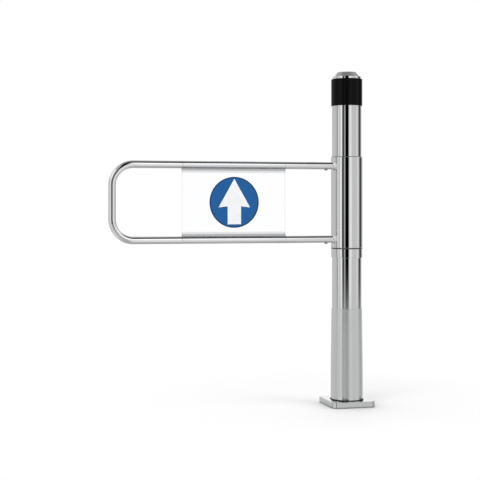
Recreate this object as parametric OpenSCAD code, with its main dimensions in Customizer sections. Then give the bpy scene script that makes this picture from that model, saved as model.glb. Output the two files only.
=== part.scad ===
// A one-way, self-closing pedestrian gate. A sleeve turns round a fixed floor post and carries a
// U-shaped arm with a clear panel and a round direction sign. A spring inside the post closes it.
// The origin is the centre of the floor flange's underside, on the post's axis, with +Z up.
// At rest the arm points along -X and the sign faces -Y. The gate opens towards +Y.

/* [Post] */
// Height from the floor to the top of the cap
overall_h = 1000; // [900:1:1200]
// Outer diameter of the post tube
post_d = 89; // [84:0.5:96]
// Wall of the post tube
post_wall = 3; // [2:0.1:4]

/* [Floor fixing] */
// Side of the square floor cover
cover_side = 133; // [124:1:150]
// Height of the floor cover
cover_h = 18; // [16:0.5:24]
// Wall of the floor cover
cover_wall = 2; // [1:0.1:3]
// Cut on each upright corner of the floor cover
cover_corner = 9; // [4:0.5:14]
// Thickness of the floor flange
flange_t = 8; // [6:0.5:11]
// Distance between neighbouring floor bolt holes
anchor_spacing = 94; // [90:0.5:100]
// Diameter of a floor bolt hole
anchor_hole_d = 12; // [8:0.5:13]

/* [Lower casing] */
// Height of the casing's upper edge above the floor
casing_top_z = 292; // [240:1:380]
// Height above the floor where the casing's taper ends and its straight foot begins
casing_foot_z = 100; // [60:1:200]
// Wall of the casing
casing_wall = 0.9; // [0.8:0.1:1.6]
// How much further the casing's foot stands out than its upper edge
casing_flare = 2.4; // [2:0.1:4]

/* [Turning sleeve] */
// Height of the sleeve's and the arm's middle above the floor
gate_z = 609; // [560:1:660]
// Height of the sleeve
sleeve_h = 272; // [250:1:320]
// Wall of the sleeve
sleeve_wall = 2; // [1.5:0.1:3]
// Wall of the slide bushes between sleeve and post
bush_wall = 1; // [0.8:0.1:2]
// Height of a slide bush
bush_h = 30; // [20:1:40]
// Height of the collar under the sleeve
collar_h = 27; // [22:1:36]

/* [Arm] */
// Distance from the post's axis to the middle of the arm's outer upright
arm_reach = 715; // [620:1:900]
// Outer diameter of the arm tube
arm_d = 22.5; // [22:0.5:28]
// Wall of the arm tube
arm_wall = 2; // [1.2:0.1:3]
// Distance from each end of the sleeve to the middle of the rail beside it
rail_inset = 26; // [20:0.5:34]
// Bend radius of the arm tube's middle line
arm_bend_r = 62.5; // [40:0.5:80]
// Length of the stubs inside the rails' ends
stub_l = 45; // [36:1:80]

/* [Panel and sign] */
// Width of the clear panel
panel_w = 314; // [240:1:340]
// Distance from the post's axis to the panel's middle
panel_x = 352; // [320:1:380]
// Thickness of the clear panel
panel_t = 4; // [3:0.5:6]
// Wall of the clips along the panel's edges
clip_wall = 3; // [2:0.1:4]
// Height of the webs between the clips and the flat of the panel
clip_web = 8; // [4:0.5:10]
// Height of clear panel left above and below the sign
sign_edge = 22; // [12:0.25:40]
// Thickness of the sign's disc
sign_t = 1.5; // [1:0.1:3]

/* [Closing mechanism] */
// Angle that the gate opens
swing_angle = 90; // [60:1:100]
// Diameter of the centre shaft inside the rotor
shaft_d = 20; // [16:0.5:24]
// Height of the rotor
rotor_h = 90; // [80:1:110]
// Wire diameter of the closing spring
spring_wire_d = 5; // [4:0.1:6]
// Mean diameter of the closing spring's turns
spring_d = 54; // [44:0.5:58]
// Number of turns in the closing spring
spring_turns = 10; // [6:1:11]
// Thickness of a rubber stop buffer, measured on the lug's middle radius
buffer_t = 8; // [5:0.5:10]

/* [Top] */
// Wall of the black ring
top_ring_wall = 2.2; // [2:0.1:8]
// Height of the black ring
top_ring_h = 77.5; // [50:0.5:100]
// Height of the cap
cap_h = 20.5; // [14:0.5:30]
// How far the cap's shoulder stands in from the post tube's outside
cap_inset = 1.1; // [0:0.1:4]
// Diameter of the cap's flat top
cap_flat_d = 62; // [40:0.5:70]

/* [Hidden] */
$fn = 96;

// Clearances and overruns
fit_gap = 0.05;
running_gap = 0.05;
axial_gap = 0.1;
loose_gap = 0.3;
cut = 1;

// Post
post_r = post_d / 2;
post_bore_r = post_r - post_wall;
post_top_z = overall_h - cap_h;

// Floor fixing
edge_cut = 0.8;
cover_edge_cut = 1;
cover_hole_gap = 0.6;
weld_share = 0.7;
seal_w = 1.6;
seal_h = 2;

// Lower casing
casing_top_r = post_r + loose_gap + casing_wall;
casing_foot_r = casing_top_r + casing_flare;
cover_hole_r = casing_foot_r + cover_hole_gap;
cover_gap = 0.3;
flange_side = cover_side - 2 * (cover_wall + cover_gap);
corner_share = 2 - sqrt(2);
flange_corner = cover_corner - corner_share * (cover_wall + cover_gap);
cover_inner_corner = cover_corner - corner_share * cover_wall;

// Turning sleeve, its bushes and the seam under it
sleeve_bore_r = post_r + running_gap + bush_wall;
sleeve_r = sleeve_bore_r + sleeve_wall;
sleeve_z0 = gate_z - sleeve_h / 2;
sleeve_z1 = gate_z + sleeve_h / 2;
bush_flange_t = 1.2;
seam_recess = 1;
washer_t = 1.7;
collar_z1 = sleeve_z0 - bush_flange_t - axial_gap - washer_t;
collar_z0 = collar_z1 - collar_h;
collar_inset = 0.6;
collar_r = sleeve_r - collar_inset;
collar_screw_d = 8;
collar_screw_depth = 9;
collar_screw_recess = 0.6;
collar_screw_angles = [30, 90, 150];

// Arm
arm_r = arm_d / 2;
arm_bore_r = arm_r - arm_wall;
arm_spacing = sleeve_h - 2 * rail_inset;
rail_offset = arm_spacing / 2;
rail_end_x = arm_reach - arm_bend_r;
arm_cope_x = sqrt(sleeve_r * sleeve_r - arm_r * arm_r);
stub_r = arm_bore_r - fit_gap;
stub_spigot_d = 14;
arm_screw_d = 6;
arm_screw_head_d = 10.5;
arm_screw_head_h = 3.3;
arm_screw_top_share = 0.6;
arm_screw_crown_r_share = 0.9;
arm_screw_crown_h_share = 0.6;
arm_screw_rim_share = 0.2;
arm_screw_from_sleeve = 18.5;
arm_screw_x = sleeve_r + arm_screw_from_sleeve;
arm_screw_depth = 10;

// Panel and sign
clip_gap = 0.25;
clip_bore_r = arm_r + clip_gap;
clip_r = clip_bore_r + clip_wall;
clip_lip = 5;
clip_web_root_share = 0.8;
panel_h = arm_spacing - 2 * clip_bore_r - clip_wall;
sign_d = panel_h - 2 * sign_edge;
panel_screw_d = 3;
panel_screw_head_d = 6;
panel_screw_head_h = 1.8;
panel_screw_inset = 14;
sign_arrow_t = 0.5;
arrow_tip_share = 0.92;
arrow_barb_share = 0.64;
arrow_barb_z_share = -0.2;
arrow_notch_z_share = -0.155;
arrow_shaft_share = 0.272;
arrow_foot_share = -0.86;

// Closing mechanism, from the plug upwards
plug_r = post_bore_r - fit_gap;
shaft_r = shaft_d / 2;
shaft_shoulder = 2;
shaft_shoulder_r = shaft_r + shaft_shoulder;
lock_nut_h = 9;
lock_nut_share = 1.75;
shaft_tail = 2;
rotor_gap = 2.5;
rotor_r = post_bore_r - rotor_gap;
rotor_z0 = gate_z - rotor_h / 2;
rotor_z1 = gate_z + rotor_h / 2;
rotor_bush_wall = 2.5;
rotor_bush_h = 22;
rotor_bush_flange_t = 2;
rotor_bush_flange_w = 2;
rotor_bush_bore_r = shaft_r + running_gap;
rotor_bush_r = rotor_bush_bore_r + rotor_bush_wall;
shaft_shoulder_z = rotor_z0 - rotor_bush_flange_t - axial_gap;
drive_screw_d = 8;
drive_screw_head_d = 14;
drive_screw_head_h = 4.4;
drive_screw_lift = 22;
drive_screw_depth = 14;
drive_screw_angle = 60;
slot_gap = 1;
slot_r = drive_screw_d / 2 + slot_gap;
slot_spare_angle = 2;
slot_end_angle = asin(slot_r / post_bore_r) + slot_spare_angle;

// Spring: its middle line lies on a cylinder, a leg stands up at each end
spring_r = spring_d / 2;
spring_wire_r = spring_wire_d / 2;
spring_bend_share = 1.2;
spring_bend_r = spring_wire_d * spring_bend_share;
spring_end_gap = 1;
spring_leg = 10;
spring_z0 = collar_z1 + spring_bend_r + spring_end_gap;
spring_z1 = rotor_z0 - spring_bend_r - spring_end_gap;
spring_pitch = (spring_z1 - spring_z0) / spring_turns;
spring_turn_steps = 12;
spring_bend_steps = 4;
spring_sides = 8;
spring_hole_gap = 0.3;

// End stops
lug_margin = 3;
lug_w = 12;
lug_h = 12;
lug_angle = 20;
lug_outer_r = rotor_r - lug_margin;
lug_inner_r = lug_outer_r - lug_w;
lug_mid_r = (lug_outer_r + lug_inner_r) / 2;
lug_start_angle = 200;
buffer_angle = buffer_t / lug_mid_r * 180 / PI;
stop_gap_angle = 0.5;
stop_z0 = rotor_z1 + rotor_bush_flange_t + loose_gap;
stop_h = 24;
stop_z1 = stop_z0 + stop_h;
pocket_gap = 1;
pocket_z1 = rotor_z1 + lug_h + pocket_gap;
stop_screw_d = 6;
stop_screw_depth = 8;
stop_screw_recess = 0.3;
stop_screw_angles = [0, 120, 240];
stop_screw_z = stop_z1 - stop_screw_d;
shaft_washer_t = 2;
shaft_washer_d = 34;
shaft_nut_h = 12;
shaft_nut_share = 1.75;
shaft_tip = 3;

// Top
top_ring_edge = 1.2;
top_ring_r = post_r + fit_gap + top_ring_wall;
top_ring_z0 = post_top_z - top_ring_h;
cap_r = post_r - cap_inset;
cap_shoulder_h = 6.5;
cap_edge = 0.8;
cap_spigot_h = 30;
cap_spigot_r = post_bore_r - fit_gap;
cap_screw_d = 5;
cap_screw_depth = 9;
cap_screw_recess = 0.3;
cap_screw_z = post_top_z - cap_spigot_h / 2;
cap_screw_angles = [30, 150, 270];

// Colours
chrome = [0.80, 0.81, 0.82];
steel = [0.55, 0.56, 0.58];
black = [0.06, 0.06, 0.065];
bronze = [0.62, 0.45, 0.25];
rubber = [0.12, 0.12, 0.12];
acrylic = [0.92, 0.96, 0.98, 0.4];
blue = [0.13, 0.35, 0.62];
white = [0.95, 0.95, 0.95];

// A plain ring that stands on z = 0
module ring(outer_r, inner_r, h) {
    difference() {
        cylinder(r = outer_r, h = h);
        translate([0, 0, -cut])
            cylinder(r = inner_r, h = h + 2 * cut);
    }
}

// A square slab with its four upright corners cut
module cut_corner_slab(side, corner, h) {
    a = side / 2;
    b = a - corner;
    linear_extrude(height = h)
        polygon([[b, -a], [a, -b], [a, b], [b, a], [-b, a], [-a, b], [-a, -b], [-b, -a]]);
}

// A piece of a ring between two angles, standing on z = 0
module ring_sector(outer_r, inner_r, h, from_angle, to_angle) {
    rotate([0, 0, from_angle])
        rotate_extrude(angle = to_angle - from_angle)
            translate([inner_r, 0])
                square([outer_r - inner_r, h]);
}

// A round bar that lies along a radius, from one distance from the axis to another
module radial_bar(angle, z, r, from_x, to_x) {
    rotate([0, 0, angle])
        translate([from_x, 0, z])
            rotate([0, 90, 0])
                cylinder(r = r, h = to_x - from_x);
}

// Floor fixing

module base_flange() {
    hole_x = anchor_spacing / 2;
    weld_leg = weld_share * (loose_gap + casing_flare);
    color(steel)
        union() {
            difference() {
                cut_corner_slab(flange_side, flange_corner, flange_t);
                for (x = [-hole_x, hole_x])
                    for (y = [-hole_x, hole_x])
                        translate([x, y, -cut])
                            cylinder(d = anchor_hole_d, h = flange_t + 2 * cut);
            }
            // the weld bead round the post's foot
            translate([0, 0, flange_t])
                rotate_extrude()
                    polygon([
                        [post_r + fit_gap, 0],
                        [post_r + fit_gap + weld_leg, 0],
                        [post_r + fit_gap, weld_leg]
                    ]);
        }
}

module base_cover() {
    inner_side = cover_side - 2 * cover_wall;
    top_side = cover_side - 2 * cover_edge_cut;
    top_corner = cover_corner - corner_share * cover_edge_cut;
    color(chrome)
        difference() {
            union() {
                cut_corner_slab(cover_side, cover_corner, cover_h - cover_edge_cut);
                cut_corner_slab(top_side, top_corner, cover_h);
            }
            translate([0, 0, -cut])
                cut_corner_slab(inner_side, cover_inner_corner, cover_h - cover_wall + cut);
            translate([0, 0, -cut])
                cylinder(r = cover_hole_r, h = cover_h + 2 * cut);
        }
}

module foot_seal() {
    seal_inner_r = casing_foot_r + fit_gap;
    color(rubber)
        translate([0, 0, cover_h])
            rotate_extrude()
                polygon([
                    [seal_inner_r, 0],
                    [seal_inner_r + seal_w, 0],
                    [seal_inner_r + seal_w, seal_h / 2],
                    [seal_inner_r + seal_w / 2, seal_h],
                    [seal_inner_r, seal_h]
                ]);
}

module lower_casing() {
    color(chrome)
        rotate_extrude()
            polygon([
                [casing_foot_r - casing_wall, flange_t],
                [casing_foot_r, flange_t],
                [casing_foot_r, casing_foot_z],
                [casing_top_r, casing_top_z - casing_wall / 2],
                [casing_top_r - casing_wall / 2, casing_top_z],
                [casing_top_r - casing_wall, casing_top_z],
                [casing_foot_r - casing_wall, casing_foot_z]
            ]);
}

// Post and the collar under the sleeve

module post_tube() {
    slot_from = drive_screw_angle - swing_angle - slot_end_angle;
    slot_to = drive_screw_angle + slot_end_angle;
    color(chrome)
        difference() {
            translate([0, 0, flange_t])
                ring(post_r, post_bore_r, post_top_z - flange_t);
            for (side = [-1, 1])
                translate([0, 0, gate_z + side * drive_screw_lift - slot_r])
                    ring_sector(post_r + cut, post_bore_r - cut, 2 * slot_r, slot_from, slot_to);
            for (angle = collar_screw_angles)
                radial_bar(angle, (collar_z0 + collar_z1) / 2, collar_screw_d / 2 + fit_gap,
                    post_bore_r - cut, post_r + cut);
            for (angle = stop_screw_angles)
                radial_bar(angle, stop_screw_z, stop_screw_d / 2 + fit_gap,
                    post_bore_r - cut, post_r + cut);
            for (angle = cap_screw_angles)
                radial_bar(angle, cap_screw_z, cap_screw_d / 2 + fit_gap,
                    post_bore_r - cut, post_r + cut);
        }
}

module thrust_collar() {
    color(chrome)
        translate([0, 0, collar_z0])
            difference() {
                rotate_extrude()
                    polygon([
                        [post_r + fit_gap, 0],
                        [collar_r - edge_cut, 0],
                        [collar_r, edge_cut],
                        [collar_r, collar_h - edge_cut],
                        [collar_r - edge_cut, collar_h],
                        [post_r + fit_gap, collar_h]
                    ]);
                for (angle = collar_screw_angles)
                    radial_bar(angle, collar_h / 2, collar_screw_d / 2 + fit_gap,
                        post_r - cut, collar_r + cut);
            }
}

module collar_screws() {
    color(steel)
        for (angle = collar_screw_angles)
            radial_bar(angle, (collar_z0 + collar_z1) / 2, collar_screw_d / 2,
                post_bore_r - collar_screw_depth, collar_r - collar_screw_recess);
}

module thrust_washer() {
    color(black)
        translate([0, 0, collar_z1])
            ring(sleeve_r - seam_recess, post_r + fit_gap, washer_t);
}

// Closing mechanism

module shaft_plug() {
    color(steel)
        translate([0, 0, collar_z0])
            difference() {
                ring(plug_r, shaft_shoulder_r + fit_gap, collar_h);
                for (angle = collar_screw_angles)
                    radial_bar(angle, collar_h / 2, collar_screw_d / 2 + fit_gap,
                        post_bore_r - collar_screw_depth, plug_r + cut);
                translate([spring_r, 0, collar_h - spring_leg - cut])
                    cylinder(r = spring_wire_r + spring_hole_gap, h = spring_leg + 2 * cut);
            }
}

module centre_shaft() {
    shaft_z0 = collar_z0 - lock_nut_h - shaft_tail;
    shaft_z1 = stop_z1 + shaft_washer_t + shaft_nut_h + shaft_tip;
    color(steel)
        union() {
            translate([0, 0, shaft_z0])
                cylinder(r = shaft_shoulder_r, h = shaft_shoulder_z - shaft_z0);
            translate([0, 0, shaft_z0])
                cylinder(r = shaft_r, h = shaft_z1 - shaft_z0);
        }
}

module shaft_lock_nut() {
    color(steel)
        translate([0, 0, collar_z0 - lock_nut_h])
            difference() {
                cylinder(r = lock_nut_share * shaft_shoulder_r, h = lock_nut_h, $fn = 6);
                translate([0, 0, -cut])
                    cylinder(r = shaft_shoulder_r + fit_gap, h = lock_nut_h + 2 * cut);
            }
}

// The spring's middle line in the plane that unrolls its cylinder: [distance round, height]
spring_run = PI * spring_d * spring_turns;
spring_flat = concat(
    [[0, collar_z1 - spring_leg]],
    [for (i = [0 : spring_bend_steps])
        let (a = 90 * i / spring_bend_steps)
        [-spring_bend_r * (1 - cos(a)), spring_z0 - spring_bend_r * (1 - sin(a))]],
    [for (i = [1 : spring_turns * spring_turn_steps])
        let (t = i / (spring_turns * spring_turn_steps))
        [-spring_bend_r - spring_run * t, spring_z0 + (spring_z1 - spring_z0) * t]],
    [for (i = [1 : spring_bend_steps])
        let (a = 90 * i / spring_bend_steps)
        [-spring_bend_r * (1 + sin(a)) - spring_run, spring_z1 + spring_bend_r * (1 - cos(a))]],
    [[-2 * spring_bend_r - spring_run, rotor_z0 + spring_leg]]
);
spring_last_angle = -(2 * spring_bend_r + spring_run) / spring_r * 180 / PI;

function spring_angle(p) = p[0] / spring_r * 180 / PI;
function spring_out(p) = [cos(spring_angle(p)), sin(spring_angle(p)), 0];
function spring_point(p) = spring_r * spring_out(p) + [0, 0, p[1]];
function flat_step(i) = spring_flat[min(i + 1, len(spring_flat) - 1)] - spring_flat[max(i - 1, 0)];
function spring_side(i) =
    let (d = flat_step(i) / norm(flat_step(i)), a = spring_angle(spring_flat[i]))
    [d[1] * sin(a), -d[1] * cos(a), d[0]];
function spring_ring(i) = [
    for (k = [0 : spring_sides - 1])
        let (a = 360 * k / spring_sides)
        spring_point(spring_flat[i])
            + spring_wire_r * (cos(a) * spring_out(spring_flat[i]) + sin(a) * spring_side(i))
];
echo(spring_least_gap = spring_pitch * cos(atan(spring_pitch / (PI * spring_d))) - spring_wire_d);

module torsion_spring() {
    rings = len(spring_flat);
    points = [for (i = [0 : rings - 1]) each spring_ring(i)];
    walls = [
        for (i = [0 : rings - 2])
            for (k = [0 : spring_sides - 1])
                let (
                    a = i * spring_sides + k,
                    b = i * spring_sides + (k + 1) % spring_sides,
                    c = a + spring_sides,
                    d = b + spring_sides
                )
                each [[a, b, d], [a, d, c]]
    ];
    first_end = [for (k = [1 : spring_sides - 2]) [0, k + 1, k]];
    last = (rings - 1) * spring_sides;
    last_end = [for (k = [1 : spring_sides - 2]) [last, last + k, last + k + 1]];
    color(steel)
        polyhedron(points = points, faces = concat(walls, first_end, last_end), convexity = 10);
}

module rotor() {
    color(steel)
        difference() {
            union() {
                translate([0, 0, rotor_z0])
                    ring(rotor_r, rotor_bush_r + fit_gap, rotor_h);
                translate([0, 0, rotor_z1 - cut])
                    ring_sector(lug_outer_r, lug_inner_r, lug_h + cut,
                        lug_start_angle, lug_start_angle + lug_angle);
            }
            for (side = [-1, 1])
                radial_bar(drive_screw_angle, gate_z + side * drive_screw_lift,
                    drive_screw_d / 2 + fit_gap, rotor_r - drive_screw_depth, rotor_r + cut);
            rotate([0, 0, spring_last_angle])
                translate([spring_r, 0, rotor_z0 - cut])
                    cylinder(r = spring_wire_r + spring_hole_gap, h = spring_leg + 2 * cut);
        }
}

module rotor_bush() {
    ring(rotor_bush_r, rotor_bush_bore_r, rotor_bush_h);
    translate([0, 0, -rotor_bush_flange_t])
        ring(rotor_bush_r + rotor_bush_flange_w, rotor_bush_bore_r, rotor_bush_flange_t);
}

module rotor_bushes() {
    color(bronze) {
        translate([0, 0, rotor_z0])
            rotor_bush();
        translate([0, 0, rotor_z1])
            mirror([0, 0, 1])
                rotor_bush();
    }
}

module drive_screws() {
    color(steel)
        for (side = [-1, 1]) {
            radial_bar(drive_screw_angle, gate_z + side * drive_screw_lift, drive_screw_d / 2,
                rotor_r - drive_screw_depth, sleeve_r + drive_screw_head_h / 2);
            radial_bar(drive_screw_angle, gate_z + side * drive_screw_lift, drive_screw_head_d / 2,
                sleeve_r, sleeve_r + drive_screw_head_h);
        }
}

// The lug turns clockwise, seen from above, from the closed stop to the open stop
pocket_to = lug_start_angle + lug_angle + stop_gap_angle + buffer_angle;
pocket_from = lug_start_angle - swing_angle - stop_gap_angle - buffer_angle;

module stop_ring() {
    color(steel)
        difference() {
            translate([0, 0, stop_z0])
                ring(plug_r, shaft_r + fit_gap, stop_h);
            translate([0, 0, stop_z0 - cut])
                ring_sector(lug_outer_r + pocket_gap, lug_inner_r - pocket_gap,
                    pocket_z1 - stop_z0 + cut, pocket_from, pocket_to);
            for (angle = stop_screw_angles)
                radial_bar(angle, stop_screw_z, stop_screw_d / 2 + fit_gap,
                    post_bore_r - stop_screw_depth, plug_r + cut);
        }
}

module stop_buffers() {
    color(rubber)
        translate([0, 0, stop_z0]) {
            ring_sector(lug_outer_r, lug_inner_r, pocket_z1 - stop_z0,
                pocket_to - buffer_angle, pocket_to);
            ring_sector(lug_outer_r, lug_inner_r, pocket_z1 - stop_z0,
                pocket_from, pocket_from + buffer_angle);
        }
}

module stop_screws() {
    color(steel)
        for (angle = stop_screw_angles)
            radial_bar(angle, stop_screw_z, stop_screw_d / 2,
                post_bore_r - stop_screw_depth, post_r - stop_screw_recess);
}

module shaft_washer() {
    color(steel)
        translate([0, 0, stop_z1])
            ring(shaft_washer_d / 2, shaft_r + fit_gap, shaft_washer_t);
}

module shaft_nut() {
    color(steel)
        translate([0, 0, stop_z1 + shaft_washer_t])
            difference() {
                cylinder(r = shaft_nut_share * shaft_r, h = shaft_nut_h, $fn = 6);
                translate([0, 0, -cut])
                    cylinder(r = shaft_r + fit_gap, h = shaft_nut_h + 2 * cut);
            }
}

// Top

module top_ring() {
    color(black)
        translate([0, 0, top_ring_z0])
            rotate_extrude()
                polygon([
                    [post_r + fit_gap, 0],
                    [top_ring_r - top_ring_edge, 0],
                    [top_ring_r, top_ring_edge],
                    [top_ring_r, top_ring_h - top_ring_edge],
                    [top_ring_r - top_ring_edge, top_ring_h],
                    [post_r + fit_gap, top_ring_h]
                ]);
}

module top_cap() {
    color(chrome)
        translate([0, 0, post_top_z])
            difference() {
                rotate_extrude()
                    polygon([
                        [0, -cap_spigot_h],
                        [cap_spigot_r, -cap_spigot_h],
                        [cap_spigot_r, 0],
                        [cap_r, 0],
                        [cap_r, cap_shoulder_h - cap_edge],
                        [cap_r - cap_edge, cap_shoulder_h],
                        [cap_flat_d / 2, cap_h],
                        [0, cap_h]
                    ]);
                for (angle = cap_screw_angles)
                    radial_bar(angle, cap_screw_z - post_top_z, cap_screw_d / 2 + fit_gap,
                        post_bore_r - cap_screw_depth, cap_spigot_r + cut);
            }
}

module cap_screws() {
    color(steel)
        for (angle = cap_screw_angles)
            radial_bar(angle, cap_screw_z, cap_screw_d / 2,
                post_bore_r - cap_screw_depth, post_r - cap_screw_recess);
}

// Turning sleeve

module hub_sleeve() {
    color(chrome)
        difference() {
            translate([0, 0, sleeve_z0])
                rotate_extrude()
                    polygon([
                        [sleeve_bore_r, 0],
                        [sleeve_r - edge_cut, 0],
                        [sleeve_r, edge_cut],
                        [sleeve_r, sleeve_h - edge_cut],
                        [sleeve_r - edge_cut, sleeve_h],
                        [sleeve_bore_r, sleeve_h]
                    ]);
            for (side = [-1, 1]) {
                radial_bar(180, gate_z + side * rail_offset, stub_spigot_d / 2 + fit_gap,
                    sleeve_bore_r - cut, sleeve_r + cut);
                radial_bar(drive_screw_angle, gate_z + side * drive_screw_lift,
                    drive_screw_d / 2 + fit_gap, sleeve_bore_r - cut, sleeve_r + cut);
            }
        }
}

module slide_bush() {
    bush_bore_r = post_r + running_gap;
    ring(sleeve_bore_r - fit_gap, bush_bore_r, bush_h);
    translate([0, 0, -bush_flange_t])
        ring(sleeve_r - seam_recess, bush_bore_r, bush_flange_t);
}

module lower_bush() {
    color(black)
        translate([0, 0, sleeve_z0])
            slide_bush();
}

module upper_bush() {
    color(black)
        translate([0, 0, sleeve_z1])
            mirror([0, 0, 1])
                slide_bush();
}

// Arm

// The U of the arm's middle line, swept with a round section that starts at the given distance
module arm_sweep(r, start_x) {
    bend_z = rail_offset - arm_bend_r;
    for (side = [-1, 1])
        translate([-rail_end_x, 0, gate_z + side * rail_offset])
            rotate([0, 90, 0])
                cylinder(r = r, h = rail_end_x - start_x);
    for (turn = [90, 180])
        translate([-rail_end_x, 0, gate_z + (turn == 90 ? bend_z : -bend_z)])
            rotate([90, 0, 0])
                rotate([0, 0, turn])
                    rotate_extrude(angle = 90)
                        translate([arm_bend_r, 0])
                            circle(r = r);
    translate([-arm_reach, 0, gate_z - bend_z])
        cylinder(r = r, h = 2 * bend_z);
}

// The upright shape of the sleeve, which the rails and stubs are cut to
module sleeve_saddle() {
    translate([0, 0, sleeve_z0])
        cylinder(r = sleeve_r + fit_gap, h = sleeve_h);
}

module arm_tube() {
    color(chrome)
        difference() {
            arm_sweep(arm_r, arm_cope_x - cut);
            arm_sweep(arm_bore_r, arm_cope_x - 2 * cut);
            sleeve_saddle();
            for (side = [-1, 1])
                translate([-arm_screw_x, 0, gate_z + side * rail_offset - arm_r - cut])
                    cylinder(r = arm_screw_d / 2 + fit_gap, h = arm_r);
        }
}

module arm_stubs() {
    color(steel)
        for (side = [-1, 1])
            difference() {
                union() {
                    difference() {
                        radial_bar(180, gate_z + side * rail_offset, stub_r,
                            arm_cope_x - cut, sleeve_r + stub_l);
                        sleeve_saddle();
                    }
                    radial_bar(180, gate_z + side * rail_offset, stub_spigot_d / 2,
                        sleeve_bore_r, sleeve_r + stub_l / 2);
                }
                translate([-arm_screw_x, 0, gate_z + side * rail_offset - arm_r - cut])
                    cylinder(r = arm_screw_d / 2 + fit_gap, h = arm_screw_depth + cut);
            }
}

module arm_screws() {
    head_r = arm_screw_head_d / 2;
    color(steel)
        for (side = [-1, 1])
            translate([-arm_screw_x, 0, gate_z + side * rail_offset - arm_r]) {
                translate([0, 0, -arm_screw_head_h / 2])
                    cylinder(d = arm_screw_d, h = arm_screw_head_h / 2 + arm_screw_depth);
                rotate_extrude()
                    polygon([
                        [0, -arm_screw_head_h],
                        [head_r * arm_screw_top_share, -arm_screw_head_h],
                        [head_r * arm_screw_crown_r_share, -arm_screw_head_h * arm_screw_crown_h_share],
                        [head_r, -arm_screw_head_h * arm_screw_rim_share],
                        [head_r, 0],
                        [0, 0]
                    ]);
            }
}

// Panel and sign

module panel_clip(side) {
    web_half = clip_bore_r * clip_web_root_share;
    difference() {
        translate([-panel_x - panel_w / 2, 0, side * rail_offset]) {
            rotate([0, 90, 0])
                cylinder(r = clip_r, h = panel_w);
            // the web narrows from the clip to the panel's thickness
            rotate([90, 0, 90])
                linear_extrude(height = panel_w)
                    polygon([
                        [-web_half, 0],
                        [web_half, 0],
                        [panel_t / 2, -side * (clip_r + clip_web)],
                        [-panel_t / 2, -side * (clip_r + clip_web)]
                    ]);
        }
        translate([-panel_x - panel_w / 2 - cut, 0, side * rail_offset])
            rotate([0, 90, 0])
                cylinder(r = clip_bore_r, h = panel_w + 2 * cut);
        // the clip is open on the side away from the panel
        translate([-panel_x, 0, side * (rail_offset + clip_lip + clip_r)])
            cube([panel_w + 2 * cut, 2 * clip_r + 2 * cut, 2 * clip_r], center = true);
    }
}

module sign_panel() {
    color(acrylic)
        translate([0, 0, gate_z])
            difference() {
                union() {
                    panel_clip(1);
                    panel_clip(-1);
                    translate([-panel_x, 0, 0])
                        cube([panel_w, panel_t, panel_h], center = true);
                }
                panel_screw_bars(panel_screw_d / 2 + fit_gap, arm_r, clip_r + cut);
            }
}

// Bars along +Y at the panel's four corners, at the height of the rails' middles
module panel_screw_bars(r, from_y, to_y) {
    for (x = [-panel_x - panel_w / 2 + panel_screw_inset, -panel_x + panel_w / 2 - panel_screw_inset])
        for (side = [-1, 1])
            translate([x, from_y, side * rail_offset])
                rotate([-90, 0, 0])
                    cylinder(r = r, h = to_y - from_y);
}

module panel_screws() {
    color(steel)
        translate([0, 0, gate_z])
            union() {
                panel_screw_bars(panel_screw_d / 2, arm_r + fit_gap, clip_r + panel_screw_head_h / 2);
                panel_screw_bars(panel_screw_head_d / 2, clip_r, clip_r + panel_screw_head_h);
            }
}

module sign_disc() {
    color(blue)
        translate([-panel_x, -panel_t / 2, gate_z])
            rotate([90, 0, 0])
                cylinder(d = sign_d, h = sign_t);
}

module sign_arrow() {
    s = sign_d / 2;
    color(white)
        translate([-panel_x, -panel_t / 2 - sign_t, gate_z])
            rotate([90, 0, 0])
                linear_extrude(height = sign_arrow_t)
                    polygon([
                        [0, s * arrow_tip_share],
                        [-s * arrow_barb_share, s * arrow_barb_z_share],
                        [-s * arrow_shaft_share, s * arrow_notch_z_share],
                        [-s * arrow_shaft_share, s * arrow_foot_share],
                        [s * arrow_shaft_share, s * arrow_foot_share],
                        [s * arrow_shaft_share, s * arrow_notch_z_share],
                        [s * arrow_barb_share, s * arrow_barb_z_share]
                    ]);
}

base_flange();
base_cover();
foot_seal();
lower_casing();
post_tube();
thrust_collar();
collar_screws();
thrust_washer();
shaft_plug();
centre_shaft();
shaft_lock_nut();
torsion_spring();
stop_ring();
stop_buffers();
stop_screws();
shaft_washer();
shaft_nut();
top_ring();
top_cap();
cap_screws();
hub_sleeve();
lower_bush();
upper_bush();
rotor();
rotor_bushes();
drive_screws();
arm_stubs();
arm_tube();
arm_screws();
sign_panel();
panel_screws();
sign_disc();
sign_arrow();
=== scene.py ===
"""Finishes, fine pieces, stage and camera for a pedestrian swing gate.

Lengths are in metres. The origin is on the post's axis at floor level, +Z is up, the arm points
along -X at rest and the sign faces -Y.
"""

import math

import bmesh
import bpy
from bpy.props import FloatProperty, FloatVectorProperty, IntProperty, PointerProperty
from mathutils import Matrix, Vector


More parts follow.
